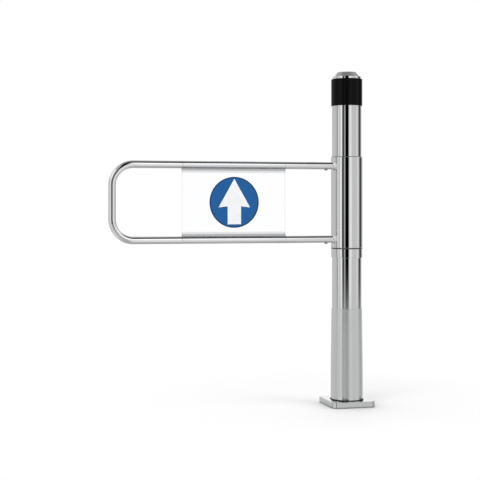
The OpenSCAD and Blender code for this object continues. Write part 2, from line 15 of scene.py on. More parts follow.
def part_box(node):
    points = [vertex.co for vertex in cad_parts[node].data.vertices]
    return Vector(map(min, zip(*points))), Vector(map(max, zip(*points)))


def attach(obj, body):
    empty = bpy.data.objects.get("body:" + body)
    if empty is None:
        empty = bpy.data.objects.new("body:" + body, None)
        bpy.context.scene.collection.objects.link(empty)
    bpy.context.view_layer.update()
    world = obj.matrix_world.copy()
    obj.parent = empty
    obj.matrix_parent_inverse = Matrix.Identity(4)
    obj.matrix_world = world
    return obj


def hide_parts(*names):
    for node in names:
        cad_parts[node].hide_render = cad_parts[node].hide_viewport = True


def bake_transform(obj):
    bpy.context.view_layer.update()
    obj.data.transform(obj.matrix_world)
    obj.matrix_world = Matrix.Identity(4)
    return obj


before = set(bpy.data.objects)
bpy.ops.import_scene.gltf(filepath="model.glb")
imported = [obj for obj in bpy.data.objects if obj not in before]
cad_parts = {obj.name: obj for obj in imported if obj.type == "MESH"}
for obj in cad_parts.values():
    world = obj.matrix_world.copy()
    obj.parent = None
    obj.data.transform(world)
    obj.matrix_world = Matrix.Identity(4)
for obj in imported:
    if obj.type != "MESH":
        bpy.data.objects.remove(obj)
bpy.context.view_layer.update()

bl_info = {
    "name": "Pedestrian swing gate",
    "version": (1, 0, 0),
    "blender": (4, 5, 0),
    "location": "3D View > Sidebar > Gate",
    "description": "Fine pieces, finishes, stage and camera for a pedestrian swing gate",
    "category": "Object",
}

# The photograph's frame in pixels
PHOTO_SIZE = 480
OPTICAL_CENTRE_X = 188.7
HORIZON_Y = 206.0
POST_FOOT_X = 346.7

UP = Vector((0, 0, 1))

# Button-head screws: shank, head and hexagon socket
ARM_SCREW = dict(shank_r=0.003, shank_l=0.010, head_r=0.00525, head_h=0.0033, socket_r=0.0021,
                 socket_depth=0.0019)
DRIVE_SCREW = dict(shank_r=0.004, head_r=0.007, head_h=0.0044, socket_r=0.0029, socket_depth=0.0026)
PANEL_SCREW = dict(shank_r=0.0015, shank_l=0.00315, head_r=0.003, head_h=0.0018, socket_r=0.0012,
                   socket_depth=0.001)

# The drive screws: their direction round the post, their heights above and below the sleeve's
# middle, and the distance of their tips from the post's axis
DRIVE_TURN = math.radians(60)
DRIVE_LIFTS = (-0.022, 0.022)
DRIVE_TIP = 0.025

# Light and dark panels that stand round the gate in the studio, which the chrome mirrors. Degrees to
# the right of the line from the post to the camera, where a panel starts and ends, and its brightness.
PANELS = [
    (-180, -166, 0.95), (-150, -97, 0.58), (-90, -82, 0.52), (-78, -74, 0.28), (-69, -66, 0.80),
    (-60, -52, 0.60), (-45, -36, 0.90), (-33, -21, 0.05), (-18, -12, 0.40), (-8, 12, 0.0),
    (21, 34, 0.84), (41, 78, 0.60), (82, 92, 0.74), (109, 129, 0.06), (137, 149, 0.50), (158, 180, 0.95),
]

# The floor as the chrome mirrors it: its own even tone and its share of dull mirroring
FLOOR_TONE = 0.38
FLOOR_SHEEN = 0.32

# The clear panel's tone from each rail's axis (0) inwards to a depth (1) in radii of the rail. The clips make
# it greyer where they thicken it; the dark line and the grey band next to each rail are painted shade.
CLIP_DEPTH = 2.2
CLIP_SHADE_TONES = ((0.0, 1.0), (0.36, 0.98), (0.46, 0.86), (0.56, 0.66), (0.62, 0.68), (0.72, 0.84), (0.80, 0.89),
              (0.93, 0.90), (0.97, 1.0))


def box_centre(node):
    low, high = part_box(node)
    return (low + high) / 2


def length(name, description, default, low=0.0, high=1.0):
    return FloatProperty(name=name, description=description, default=default, min=low, max=high,
                         precision=4, subtype="DISTANCE", unit="LENGTH")


def power(name, description, default):
    return FloatProperty(name=name, description=description, default=default, min=0.0, unit="POWER")


def tint(name, description, default):
    return FloatVectorProperty(name=name, description=description, default=default, size=3,
                               min=0.0, max=1.0, subtype="COLOR")


class GateSizes(bpy.types.PropertyGroup):
    """Sizes of the fine pieces"""

    cover_corner: length("Cover corner cut", "Cut on the floor cover's upright corners", 0.009, 0.004, 0.014)
    cover_edge: length("Cover edge", "Rounding of the floor cover's pressed edges", 0.0016, 0.0004, 0.003)
    cover_wall: length("Cover wall", "Sheet thickness of the floor cover", 0.002, 0.001, 0.003)
    cover_hole: length("Cover hole", "Radius of the hole round the casing", 0.0487, 0.0483, 0.051)
    seal_edge: length("Seal edge", "Rounding of the rubber ring at the foot", 0.0006, 0.0001, 0.0008)
    casing_wall: length("Casing wall", "Wall of the lower casing", 0.0009, 0.0006, 0.0016)
    casing_straight: length("Casing foot", "Height where the casing's taper ends", 0.100, 0.06, 0.2)
    casing_edge: length("Casing edge", "Rounding of the casing's upper edge", 0.0004, 0.0001, 0.0006)
    ring_edge: length("Ring edge", "Rounding of the black ring's edges", 0.0016, 0.0004, 0.004)
    ring_lip: length("Ring lip", "How far the black ring hangs below its seat", 0.0035, 0.0, 0.005)
    cap_shoulder: length("Cap shoulder", "Height of the cap's upright shoulder", 0.0065, 0.004, 0.012)
    cap_flat: length("Cap flat", "Radius of the cap's flat top", 0.031, 0.02, 0.038)
    cap_edge: length("Cap edge", "Rounding of the cap's edges", 0.001, 0.0002, 0.002)
    spring_wire: length("Spring wire", "Diameter of the closing spring's wire", 0.005, 0.004, 0.006)
    spring_middle: length("Spring size", "Middle diameter of the closing spring", 0.054, 0.044, 0.058)
    spring_leg: length("Spring leg", "Each straight end of the spring with its bend", 0.017, 0.015, 0.02)
    spring_turns: IntProperty(name="Spring turns", description="Turns of the closing spring",
                              default=10, min=6, max=11)
    rail_size: length("Rail size", "Diameter of the arm's tube", 0.0225, 0.02, 0.03)
    sign_glue: length("Sign glue", "Glue between the sign and the panel", 0.00005, 0.0, 0.0002)
    sign_edge: length("Sign edge", "Rounding of the sign's front edge", 0.0005, 0.0001, 0.001)
    sign_rim: length("Sign rim", "Width of the darker ring round the sign", 0.0034, 0.0, 0.01)
    round_steps: IntProperty(name="Round steps", description="Faces round a full turn",
                             default=192, min=48, max=360)


class GateColours(bpy.types.PropertyGroup):
    """Colours of the finishes"""

    chrome: tint("Chrome", "Polished chrome plate", (0.86, 0.865, 0.87))
    steel: tint("Steel", "Machined and zinc-plated steel", (0.55, 0.56, 0.58))
    spring: tint("Spring steel", "Oiled spring wire", (0.20, 0.20, 0.21))
    bronze: tint("Bronze", "Sintered bronze bush", (0.60, 0.42, 0.22))
    ring_black: tint("Ring black", "Glossy black plastic ring", (0.003, 0.003, 0.0033))
    slide_black: tint("Slide black", "Black slide plastic", (0.03, 0.03, 0.032))
    rubber: tint("Rubber", "Matt black rubber", (0.022, 0.022, 0.022))
    sign_blue: tint("Sign blue", "Blue face of the sign", (0.0065, 0.088, 0.273))
    sign_navy: tint("Sign rim", "Darker blue at the sign's rim", (0.002, 0.024, 0.085))
    sign_white: tint("Sign white", "White film of the arrow", (0.76, 0.765, 0.78))
    acrylic: tint("Acrylic", "Clear panel", (0.995, 0.996, 0.997))
    acrylic_slant: tint("Acrylic aslant", "Clear panel seen along its face", (0.45, 0.46, 0.48))
    floor: tint("Floor", "Pale studio floor", (0.93, 0.93, 0.93))


class GateStage(bpy.types.PropertyGroup):
    """Camera, floor and lamps"""

    camera_distance: length("Camera distance", "From camera to post, along the view", 3.471, 1.0, 10.0)
    camera_height: length("Camera height", "Height of the lens above the floor", 0.5982, 0.1, 3.0)
    camera_turn: FloatProperty(name="Camera turn", description="Turn of the view away from +Y, towards +X",
                               default=math.radians(13.2), subtype="ANGLE", unit="ROTATION")
    focal_pixels: FloatProperty(name="Focal length", description="Focal length in pixels of the photograph",
                                default=1152.0, min=200.0, max=4000.0)
    floor_radius: length("Floor radius", "Radius of the round studio floor", 6.0, 1.0, 20.0)
    wall_distance: length("Panel distance", "From the post to the studio's panels", 3.2, 1.0, 10.0)
    wall_height: length("Panel height", "Height of the studio's panels", 3.4, 1.0, 10.0)
    wall_foot: length("Panel foot", "Height over which the panels fade into the floor", 0.32, 0.01, 1.0)
    key_power: power("Key lamp", "Power of the large lamp at the front left", 75.0)
    fill_power: power("Fill lamp", "Power of the lamp at the front right", 40.0)
    top_power: power("Top lamp", "Power of the lamp above the gate", 45.0)
    room_light: FloatProperty(name="Room light", description="Even light from all round", default=0.45,
                              min=0.0)


def picked(geometry, kind):
    """The vertices (BMVert) or edges (BMEdge) among the geometry."""
    return [g for g in geometry if isinstance(g, kind)]


def edges_of(verts):
    """The edges at some vertices, each once and in the same order at every run."""
    return list(dict.fromkeys(e for v in verts for e in v.link_edges))


def rounded(bm, geometry, offset, segments, affect):
    """Rounds VERTICES or EDGES; only edges are kept from growing past their faces."""
    bmesh.ops.bevel(bm, geom=geometry, offset=offset, offset_type="OFFSET", segments=segments,
                    profile=0.5, affect=affect, material=-1, clamp_overlap=affect == "EDGES")


def finished_object(bm, name, material, sharp_deg=40.0, even_normals=True):
    """Turns a bmesh into a smooth-shaded object at the origin, with hard edges kept sharp."""
    bmesh.ops.remove_doubles(bm, verts=bm.verts, dist=1e-7)
    bmesh.ops.recalc_face_normals(bm, faces=bm.faces)
    mesh = bpy.data.meshes.new(name)
    bm.to_mesh(mesh)
    bm.free()
    mesh.shade_smooth()
    mesh.set_sharp_from_angle(angle=math.radians(sharp_deg))
    mesh.materials.append(material)
    obj = bpy.data.objects.new(name, mesh)
    bpy.context.scene.collection.objects.link(obj)
    if even_normals:
        shade_evenly(obj)
    return obj


def shade_evenly(obj):
    even = obj.modifiers.new("Even shading", "WEIGHTED_NORMAL")
    even.keep_sharp = True


def spun(name, corners, material, place=None):
    """A ring or disc turned round the post's axis from a closed outline, then moved to its place.

    Each corner of the outline is its radius, height, rounding and the rounding's segments.
    """
    bm = bmesh.new()
    verts = [bm.verts.new((corner[0], 0, corner[1])) for corner in corners]
    for i, v in enumerate(verts):
        bm.edges.new((verts[i - 1], v))
    for v, (_, _, rounding, segments) in zip(verts, corners):
        if rounding > 0:
            rounded(bm, [v], rounding, segments, "VERTICES")
    bmesh.ops.spin(bm, geom=bm.verts[:] + bm.edges[:], cent=(0, 0, 0), axis=UP, dvec=(0, 0, 0),
                   angle=2 * math.pi, steps=bpy.context.scene.gate_sizes.round_steps, use_merge=True,
                   use_duplicate=False)
    if place is not None:
        bmesh.ops.transform(bm, matrix=place, verts=bm.verts)
    return finished_object(bm, name, material)


def grown_ring(bm, edges, radius, height):
    """Extrudes a round loop of edges and gives the new loop its radius and height."""
    new = bmesh.ops.extrude_edge_only(bm, edges=edges)["geom"]
    verts = picked(new, bmesh.types.BMVert)
    old = math.hypot(verts[0].co.x, verts[0].co.y)
    bmesh.ops.scale(bm, vec=(radius / old, radius / old, 1), verts=verts)
    bmesh.ops.translate(bm, vec=(0, 0, height - verts[0].co.z), verts=verts)
    return picked(new, bmesh.types.BMEdge)


def socket_screw_mesh(shank_r, shank_l, head_r, head_h, socket_r, socket_depth):
    """One button-head screw with a hexagon socket, its head rising along +Z from a seat at the origin."""
    seat_r = head_r * 0.97
    seat_edge = head_h * 0.06
    rim = head_h * 0.2
    flat_r = head_r * 0.56
    inner_r = flat_r * 0.9
    arc_steps = 7
    bm = bmesh.new()
    bmesh.ops.create_circle(bm, cap_ends=True, segments=48, radius=shank_r)
    bmesh.ops.translate(bm, vec=(0, 0, -shank_l), verts=bm.verts)
    profile = [(shank_r, 0), (seat_r, 0), (head_r, seat_edge)]
    for step in range(arc_steps + 1):
        a = math.radians(90 * step / arc_steps)
        profile.append((flat_r + (head_r - flat_r) * math.cos(a), rim + (head_h - rim) * math.sin(a)))
    profile.append((inner_r, head_h))
    edges = bm.edges[:]
    for radius, height in profile:
        edges = grown_ring(bm, edges, radius, height)
    hexagon = bmesh.ops.create_circle(bm, cap_ends=False, segments=6, radius=socket_r)["verts"]
    bmesh.ops.translate(bm, vec=(0, 0, head_h), verts=hexagon)
    rim_edges = edges_of(hexagon)
    bmesh.ops.bridge_loops(bm, edges=edges + rim_edges)
    deep = bmesh.ops.extrude_edge_only(bm, edges=rim_edges)["geom"]
    bmesh.ops.translate(bm, vec=(0, 0, -socket_depth), verts=picked(deep, bmesh.types.BMVert))
    bmesh.ops.edgeloop_fill(bm, edges=picked(deep, bmesh.types.BMEdge))
    bmesh.ops.recalc_face_normals(bm, faces=bm.faces)
    mesh = bpy.data.meshes.new("screw")
    bm.to_mesh(mesh)
    bm.free()
    return mesh


def screws(name, screw, places):
    """Copies one screw to each place and joins the copies in one object."""
    bm = bmesh.new()
    for place in places:
        before = len(bm.verts)
        bm.from_mesh(screw)
        bm.verts.ensure_lookup_table()
        bmesh.ops.transform(bm, matrix=place, verts=bm.verts[before:])
    bpy.data.meshes.remove(screw)
    return finished_object(bm, name, finish("screw steel"), sharp_deg=30.0)


def facing(direction, point):
    """A place whose +Z points along the direction, at the point."""
    turn = UP.rotation_difference(Vector(direction).normalized()).to_matrix().to_4x4()
    return Matrix.Translation(point) @ turn


def plug(tree, socket, value):
    """Links another socket into a node's input, or sets the input to a value."""
    if isinstance(value, bpy.types.NodeSocket):
        tree.node_tree.links.new(value, socket)
    else:
        socket.default_value = value


def add_node(tree, kind, inputs, **settings):
    """Adds a shader node to a material or world; each input is a socket or a value."""
    node = tree.node_tree.nodes.new("ShaderNode" + kind)
    for name, setting in settings.items():
        setattr(node, name, setting)
    for name, value in inputs.items():
        plug(tree, node.inputs[name], value)
    return node


def new_finish(name):
    """A material with a Principled shader and its Object coordinates."""
    material = bpy.data.materials.new(name)
    material.use_nodes = True
    material.node_tree.nodes.clear()
    shader = add_node(material, "BsdfPrincipled", {})
    add_node(material, "OutputMaterial", {"Surface": shader.outputs["BSDF"]})
    return material, shader, object_coordinates(material)


def object_coordinates(material):
    return add_node(material, "TexCoord", {}).outputs["Object"]


def surface(material):
    """The socket that the material's last shader goes into."""
    output = next(n for n in material.node_tree.nodes if n.type == "OUTPUT_MATERIAL")
    return output.inputs["Surface"]


def noise(material, where, scale, detail=3.0, stretch=(1, 1, 1)):
    """Cloudy values from 0 to 1; stretch squeezes the pattern along X, Y and Z."""
    place = add_node(material, "Mapping", {"Vector": where, "Scale": stretch})
    cloud = add_node(material, "TexNoise",
                     {"Vector": place.outputs["Vector"], "Scale": scale, "Detail": detail})
    return cloud.outputs["Fac"]


def ranged(tree, value, low, high, from_low=0.3, from_high=0.7):
    """Maps a pattern's usual range to a low and a high value."""
    return add_node(tree, "MapRange", {"Value": value, "From Min": from_low, "From Max": from_high,
                                       "To Min": low, "To Max": high}).outputs["Result"]


def blended(material, factor, first, second, blend_type="MIX"):
    """A colour between two colours, each a socket or its red, green and blue."""
    first, second = (c if isinstance(c, bpy.types.NodeSocket) else (*c, 1) for c in (first, second))
    return add_node(material, "Mix", {"Factor": factor, "A": first, "B": second}, data_type="RGBA",
                    blend_type=blend_type).outputs["Result"]


def mottled(material, pattern, first, second):
    """Patches of two colours, laid out by a pattern."""
    return blended(material, ranged(material, pattern, 0.0, 1.0), first, second)


def maths(tree, kind, *operands):
    """One Math node; an operand is a socket or a number."""
    return add_node(tree, "Math", dict(enumerate(operands)), operation=kind).outputs["Value"]


def vectors(tree, kind, output, inputs):
    """One Vector Math node's output."""
    return add_node(tree, "VectorMath", inputs, operation=kind).outputs[output]


def split(tree, vector):
    """A vector's outputs X, Y and Z."""
    return add_node(tree, "SeparateXYZ", {"Vector": vector}).outputs


def grey_ramp(tree, value, stops, blue=1.0):
    """A ramp through stops, each a place from 0 to 1 and its brightness."""
    node = add_node(tree, "ValToRGB", {"Fac": value})
    elements = node.color_ramp.elements
    while len(elements) < len(stops):
        elements.new(0.5)
    for element, (place, level) in zip(elements, stops):
        element.position = place
        element.color = (level, level, level * blue, 1)
    return node.outputs["Color"]


def mixed(tree, factor, first, second):
    """A shader between two shaders."""
    return add_node(tree, "MixShader", {"Fac": factor, 1: first, 2: second}).outputs["Shader"]


def dressed(material, shader, colour, roughness, height, strength, distance):
    """Gives the shader its colour, roughness and bump."""
    bump = add_node(material, "Bump", {"Strength": strength, "Distance": distance, "Height": height})
    plug(material, shader.inputs["Base Color"], colour)
    plug(material, shader.inputs["Roughness"], roughness)
    plug(material, shader.inputs["Normal"], bump.outputs["Normal"])
    return material


def lighter(colour, factor):
    return tuple(min(1.0, c * factor) for c in colour)


def chrome_finish(name, colour, polish_stretch=(1, 1, 0.12), underside_shade=1.0):
    """Mirror chrome: a cloudy polish and faint wiping marks along the tube.

    Faces that point down can be darkened with painted shade.
    """
    material, shader, where = new_finish(name)
    shader.inputs["Metallic"].default_value = 1.0
    polish = noise(material, where, scale=26.0, detail=4.0, stretch=polish_stretch)
    wipes = noise(material, where, scale=420.0, detail=2.0, stretch=polish_stretch)
    rough = maths(material, "ADD", ranged(material, polish, 0.012, 0.035),
                  ranged(material, wipes, 0.0, 0.02, 0.5, 0.8))
    plate = mottled(material, polish, lighter(colour, 0.975), colour)
    # Painted shade: the plate's colour is darkened where the surface faces down.
    if underside_shade < 1:
        slope = split(material, add_node(material, "NewGeometry", {}).outputs["Normal"])
        below = ranged(material, slope["Z"], underside_shade, 1.0, -0.85, -0.6)
        plate = vectors(material, "SCALE", "Vector", {0: plate, "Scale": below})
    return dressed(material, shader, plate, rough, polish, strength=0.02, distance=0.0003)


def cover_chrome_finish(name, colour, half, corner):
    """Chrome with painted shade along the cover's foot and its upright folds."""
    fold_full, fold_end = 0.0007, 0.0015
    side_start, side_full = half - 0.004, half - 0.002
    foot_full, foot_end = 0.0012, 0.0030
    shade_tone = 0.42
    material = chrome_finish(name, colour)
    colour_socket = surface(material).links[0].from_node.inputs["Base Color"]
    plate = colour_socket.links[0].from_socket
    parts = split(material, object_coordinates(material))
    across = maths(material, "ABSOLUTE", parts["X"])
    along = maths(material, "ABSOLUTE", parts["Y"])
    outer = maths(material, "MAXIMUM", across, along)
    inner = maths(material, "MINIMUM", across, along)
    from_fold = maths(material, "ABSOLUTE", maths(material, "SUBTRACT", inner, half - corner))
    fold = ranged(material, from_fold, 1.0, 0.0, fold_full, fold_end)
    on_side = ranged(material, outer, 0.0, 1.0, side_start, side_full)
    foot = ranged(material, parts["Z"], 1.0, 0.0, foot_full, foot_end)
    # Painted shade: darker along the foot and along the upright folds.
    painted_shade = maths(material, "MAXIMUM", foot, maths(material, "MULTIPLY", fold, on_side))
    tone = ranged(material, painted_shade, 1.0, shade_tone, 0.0, 1.0)
    shaded_plate = vectors(material, "SCALE", "Vector", {0: plate, "Scale": tone})
    plug(material, colour_socket, shaded_plate)
    return material


def turned_chrome_finish(name, colour):
    """Chrome over a turned surface: fine lines round the axis draw its mirror images out in height.

    The lines' flanks face a little downwards, as a turning tool leaves them.
    """
    slope, line_height = 45.0, 0.12
    material, shader, where = new_finish(name)
    shader.inputs["Metallic"].default_value = 1.0
    polish = noise(material, where, scale=26.0, detail=4.0, stretch=(1, 1, 0.12))
    lines = noise(material, where, scale=5200.0, detail=2.0, stretch=(0.004, 0.004, 1))
    flanks = maths(material, "MULTIPLY_ADD", split(material, where)["Z"], slope,
                   maths(material, "MULTIPLY", lines, line_height))
    return dressed(material, shader, mottled(material, polish, lighter(colour, 0.975), colour),
                   ranged(material, polish, 0.03, 0.06), flanks, strength=1.0, distance=0.001)


def steel_finish(name, colour, rough_low, rough_high, line_scale=900.0):
    """Machined steel: fine turning lines round the axis over a mottled plating."""
    material, shader, where = new_finish(name)
    shader.inputs["Metallic"].default_value = 1.0
    mottle = noise(material, where, scale=90.0, detail=4.0)
    turning = noise(material, where, line_scale, detail=2.0, stretch=(0.02, 0.02, 1))
    return dressed(material, shader, mottled(material, mottle, lighter(colour, 0.82), colour),
                   ranged(material, mottle, rough_low, rough_high), turning, strength=0.25, distance=0.0003)


def plastic_finish(name, colour, rough_low, rough_high, grain_scale, grain_strength, specular=0.5):
    """Moulded plastic: a fine grain in the surface and patches of slightly different gloss."""
    material, shader, where = new_finish(name)
    shader.inputs["Specular IOR Level"].default_value = specular
    patches = noise(material, where, scale=35.0)
    grain = noise(material, where, grain_scale, detail=2.0)
    return dressed(material, shader, mottled(material, grain, lighter(colour, 0.9), lighter(colour, 1.1)),
                   ranged(material, patches, rough_low, rough_high), grain, grain_strength, distance=0.0002)


def rubber_finish(name, colour):
    """Matt rubber with a dusty bloom and a coarse grain."""
    material, shader, where = new_finish(name)
    shader.inputs["Specular IOR Level"].default_value = 0.35
    bloom = noise(material, where, scale=60.0, detail=5.0)
    grain = noise(material, where, scale=2400.0, detail=2.0)
    return dressed(material, shader, mottled(material, bloom, colour, lighter(colour, 1.8)),
                   ranged(material, bloom, 0.55, 0.8), grain, strength=0.4, distance=0.0003)


def bronze_finish(name, colour):
    """Sintered bronze: a granular metal with small dark pores."""
    material, shader, where = new_finish(name)
    shader.inputs["Metallic"].default_value = 1.0
    grains = noise(material, where, scale=1800.0, detail=4.0)
    pores = ranged(material, grains, 0.0, 1.0, 0.35, 0.5)
    return dressed(material, shader, blended(material, pores, lighter(colour, 0.45), colour),
                   ranged(material, grains, 0.32, 0.55), grains, strength=0.35, distance=0.0002)


def acrylic_finish(name, colour, slant_colour):
    """Clear cast acrylic with a flame-polished skin and faint fine scratches.

    It looks greyer where the clips round the rails and their webs make it thicker, and painted shade darkens
    a line and a band next to each rail.
    """
    material, shader, where = new_finish(name)
    shader.inputs["Metallic"].default_value = 0.9
    shader.inputs["IOR"].default_value = 1.49
    haze = noise(material, where, scale=40.0)
    scratches = noise(material, where, scale=260.0, detail=2.0, stretch=(0.05, 1, 1))
    slant = add_node(material, "LayerWeight", {"Blend": 0.5}).outputs["Facing"]
    sheet = blended(material, ranged(material, slant, 0.0, 1.0, 0.45, 0.95), colour, slant_colour)
    low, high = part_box("arm_tube")
    tube = (high.y - low.y) / 2
    offset = maths(material, "SUBTRACT", split(material, where)["Z"], (low.z + high.z) / 2)
    inward = maths(material, "SUBTRACT", (high.z - low.z) / 2 - tube, maths(material, "ABSOLUTE", offset))
    depth = ranged(material, inward, 0.0, 1.0, 0.0, tube * CLIP_DEPTH)
    # Partly painted shade: a dark line and a grey band next to each rail.
    clips = grey_ramp(material, depth, CLIP_SHADE_TONES, blue=1.005)
    clear = add_node(material, "BsdfTransparent", {"Color": blended(material, 1.0, sheet, clips, "MULTIPLY")})
    shine = add_node(material, "Fresnel", {"IOR": 1.35}).outputs["Fac"]
    inside = add_node(material, "NewGeometry", {}).outputs["Backfacing"]
    gloss = maths(material, "MULTIPLY", shine, maths(material, "SUBTRACT", 1.0, inside))
    skin = mixed(material, gloss, clear.outputs["BSDF"], shader.outputs["BSDF"])
    plug(material, surface(material), skin)
    return dressed(material, shader, (*colour, 1), ranged(material, haze, 0.01, 0.03), scratches,
                   strength=0.02, distance=0.0001)


def sign_face_finish(name, blue, navy, rim):
    """Glossy printed face: even blue with a darker ring at the rim and a fine print grain."""
    material, shader, where = new_finish(name)
    shader.inputs["Specular IOR Level"].default_value = 0.25
    soft = 0.0002
    low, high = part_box("sign_disc")
    edge = (high.x - low.x) / 2 - rim
    place = add_node(material, "Mapping", {"Vector": where, "Location": -(low + high) / 2})
    flat = vectors(material, "MULTIPLY", "Vector", {0: place.outputs["Vector"], 1: (1, 0, 1)})
    reach = vectors(material, "LENGTH", "Value", {0: flat})
    ring = ranged(material, reach, 0.0, 1.0, edge - soft, edge + soft)
    grain = noise(material, where, scale=1600.0, detail=2.0)
    face = mottled(material, grain, lighter(blue, 0.94), lighter(blue, 1.06))
    gloss = ranged(material, noise(material, where, scale=30.0), 0.22, 0.32)
    return dressed(material, shader, blended(material, ring, face, navy), gloss, grain, strength=0.01,
                   distance=0.0001)


# How each finish is made, from its material's name, the colours and the sizes
FINISHES = {
    "chrome": lambda name, tints, sizes: chrome_finish(name, tints.chrome),
    # The arm's chrome is a lighter copy of the chrome, painted light, and its faces that point down get
    # painted shade.
    "chrome arm": lambda name, tints, sizes: chrome_finish(
        name, lighter(tints.chrome, 1.18), polish_stretch=(0.12, 1, 1), underside_shade=0.62),
    "cover chrome": lambda name, tints, sizes: cover_chrome_finish(
        name, tints.chrome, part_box("base_cover")[1].x, sizes.cover_corner),
    "turned chrome": lambda name, tints, sizes: turned_chrome_finish(name, tints.chrome),
    "steel": lambda name, tints, sizes: steel_finish(name, tints.steel, 0.24, 0.4),
    "screw steel": lambda name, tints, sizes: steel_finish(
        name, lighter(tints.steel, 1.15), 0.14, 0.26, line_scale=2500.0),
    "spring wire": lambda name, tints, sizes: steel_finish(name, tints.spring, 0.3, 0.5, line_scale=1400.0),
    "bronze": lambda name, tints, sizes: bronze_finish(name, tints.bronze),
    "black ring": lambda name, tints, sizes: plastic_finish(
        name, tints.ring_black, 0.05, 0.08, grain_scale=900.0, grain_strength=0.01, specular=0.09),
    "slide plastic": lambda name, tints, sizes: plastic_finish(
        name, tints.slide_black, 0.35, 0.5, grain_scale=1300.0, grain_strength=0.2),
    "rubber": lambda name, tints, sizes: rubber_finish(name, tints.rubber),
    "acrylic": lambda name, tints, sizes: acrylic_finish(name, tints.acrylic, tints.acrylic_slant),
    "arrow white": lambda name, tints, sizes: plastic_finish(
        name, tints.sign_white, 0.25, 0.35, grain_scale=1600.0, grain_strength=0.01, specular=0.3),
    "sign blue": lambda name, tints, sizes: sign_face_finish(
        name, tints.sign_blue, tints.sign_navy, sizes.sign_rim),
}

NODE_FINISHES = {
    "base_flange": "steel", "post_tube": "chrome", "thrust_collar": "chrome", "collar_screws": "screw steel",
    "thrust_washer": "slide plastic", "shaft_plug": "steel", "centre_shaft": "steel",
    "shaft_lock_nut": "steel", "stop_ring": "steel", "stop_buffers": "rubber", "stop_screws": "screw steel",
    "shaft_washer": "steel", "shaft_nut": "steel", "cap_screws": "screw steel", "hub_sleeve": "chrome",
    "lower_bush": "slide plastic", "upper_bush": "slide plastic", "rotor": "steel",
    "rotor_bushes": "bronze", "arm_stubs": "steel", "arm_tube": "chrome arm", "sign_panel": "acrylic",
    "sign_arrow": "arrow white",
}


def finish(key):
    """The shared material of one finish, made when it is first asked for."""
    name = "Gate " + key
    if name not in bpy.data.materials:
        scene = bpy.context.scene
        FINISHES[key](name, scene.gate_colours, scene.gate_sizes)
    return bpy.data.materials[name]


def hand_over(piece, body, slot, *nodes):
    """Fixes a piece to its body, in place of its nodes. The slot argument is not used."""
    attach(piece, body)
    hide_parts(*nodes)


class GATE_OT_floor_cover(bpy.types.Operator):
    """Make the pressed, chromed cover over the floor fixing"""

    bl_idname = "gate.floor_cover"
    bl_label = "Floor cover"

    def execute(self, context):
        sizes = context.scene.gate_sizes
        low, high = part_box("base_cover")
        top = high.z
        border = 0.006
        bm = bmesh.new()
        bmesh.ops.create_grid(bm, x_segments=1, y_segments=1, size=high.x)
        bmesh.ops.translate(bm, vec=(0, 0, top), verts=bm.verts)
        rounded(bm, bm.verts[:], sizes.cover_corner, 1, "VERTICES")
        rim = [e for e in bm.edges if e.is_boundary]
        bmesh.ops.inset_region(bm, faces=bm.faces[:], thickness=border, use_even_offset=True)
        middle = max(bm.faces, key=lambda f: f.calc_area())
        inner_edges = middle.edges[:]
        bmesh.ops.delete(bm, geom=[middle], context="FACES_ONLY")
        hole = bmesh.ops.create_circle(bm, cap_ends=False, segments=sizes.round_steps,
                                       radius=sizes.cover_hole)["verts"]
        bmesh.ops.translate(bm, vec=(0, 0, top), verts=hole)
        bmesh.ops.bridge_loops(bm, edges=inner_edges + edges_of(hole))
        skirt = bmesh.ops.extrude_edge_only(bm, edges=rim)["geom"]
        bmesh.ops.translate(bm, vec=(0, 0, low.z - top), verts=picked(skirt, bmesh.types.BMVert))
        bmesh.ops.recalc_face_normals(bm, faces=bm.faces)
        folds = [e for e in bm.edges if len(e.link_faces) == 2 and e.calc_face_angle() > math.radians(30)]
        rounded(bm, folds, sizes.cover_edge, 4, "EDGES")
        cover = finished_object(bm, "floor_cover", finish("cover chrome"), even_normals=False)
        if max(cover.data.polygons, key=lambda p: p.center.z).normal.z < 0:
            cover.data.flip_normals()
        wall = cover.modifiers.new("Sheet", "SOLIDIFY")
        wall.thickness = sizes.cover_wall
        wall.offset = -1
        wall.use_even_offset = True
        shade_evenly(cover)
        hand_over(cover, "post", "chrome", "base_cover")
        return {"FINISHED"}


class GATE_OT_foot_seal(bpy.types.Operator):
    """Make the rubber ring round the casing's foot"""

    bl_idname = "gate.foot_seal"
    bl_label = "Foot seal"

    def execute(self, context):
        sizes = context.scene.gate_sizes
        low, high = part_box("foot_seal")
        overlap = 0.0005
        inner = sizes.cover_hole - overlap
        seal = spun("foot_seal_ring", [
            (inner, low.z, 0, 1),
            (high.x, low.z, 0, 1),
            (high.x, high.z, sizes.seal_edge * 1.6, 5),
            (inner, high.z, sizes.seal_edge * 0.3, 3),
        ], finish("rubber"))
        hand_over(seal, "post", "rubber", "foot_seal")
        return {"FINISHED"}


class GATE_OT_casing(bpy.types.Operator):
    """Make the chromed casing round the foot of the post"""

    bl_idname = "gate.casing"
    bl_label = "Lower casing"

    def execute(self, context):
        sizes = context.scene.gate_sizes
        low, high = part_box("lower_casing")
        foot_r = high.x
        wall = sizes.casing_wall
        gap, bend = 0.0003, 0.012
        top_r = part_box("post_tube")[1].x + gap + wall
        casing = spun("casing", [
            (foot_r - wall, low.z, 0, 1),
            (foot_r, low.z, 0, 1),
            (foot_r, sizes.casing_straight, bend, 6),
            (top_r, high.z, sizes.casing_edge, 4),
            (top_r - wall, high.z, sizes.casing_edge, 3),
            (foot_r - wall, sizes.casing_straight, bend, 6),
        ], finish("turned chrome"))
        hand_over(casing, "post", "chrome", "lower_casing")
        return {"FINISHED"}


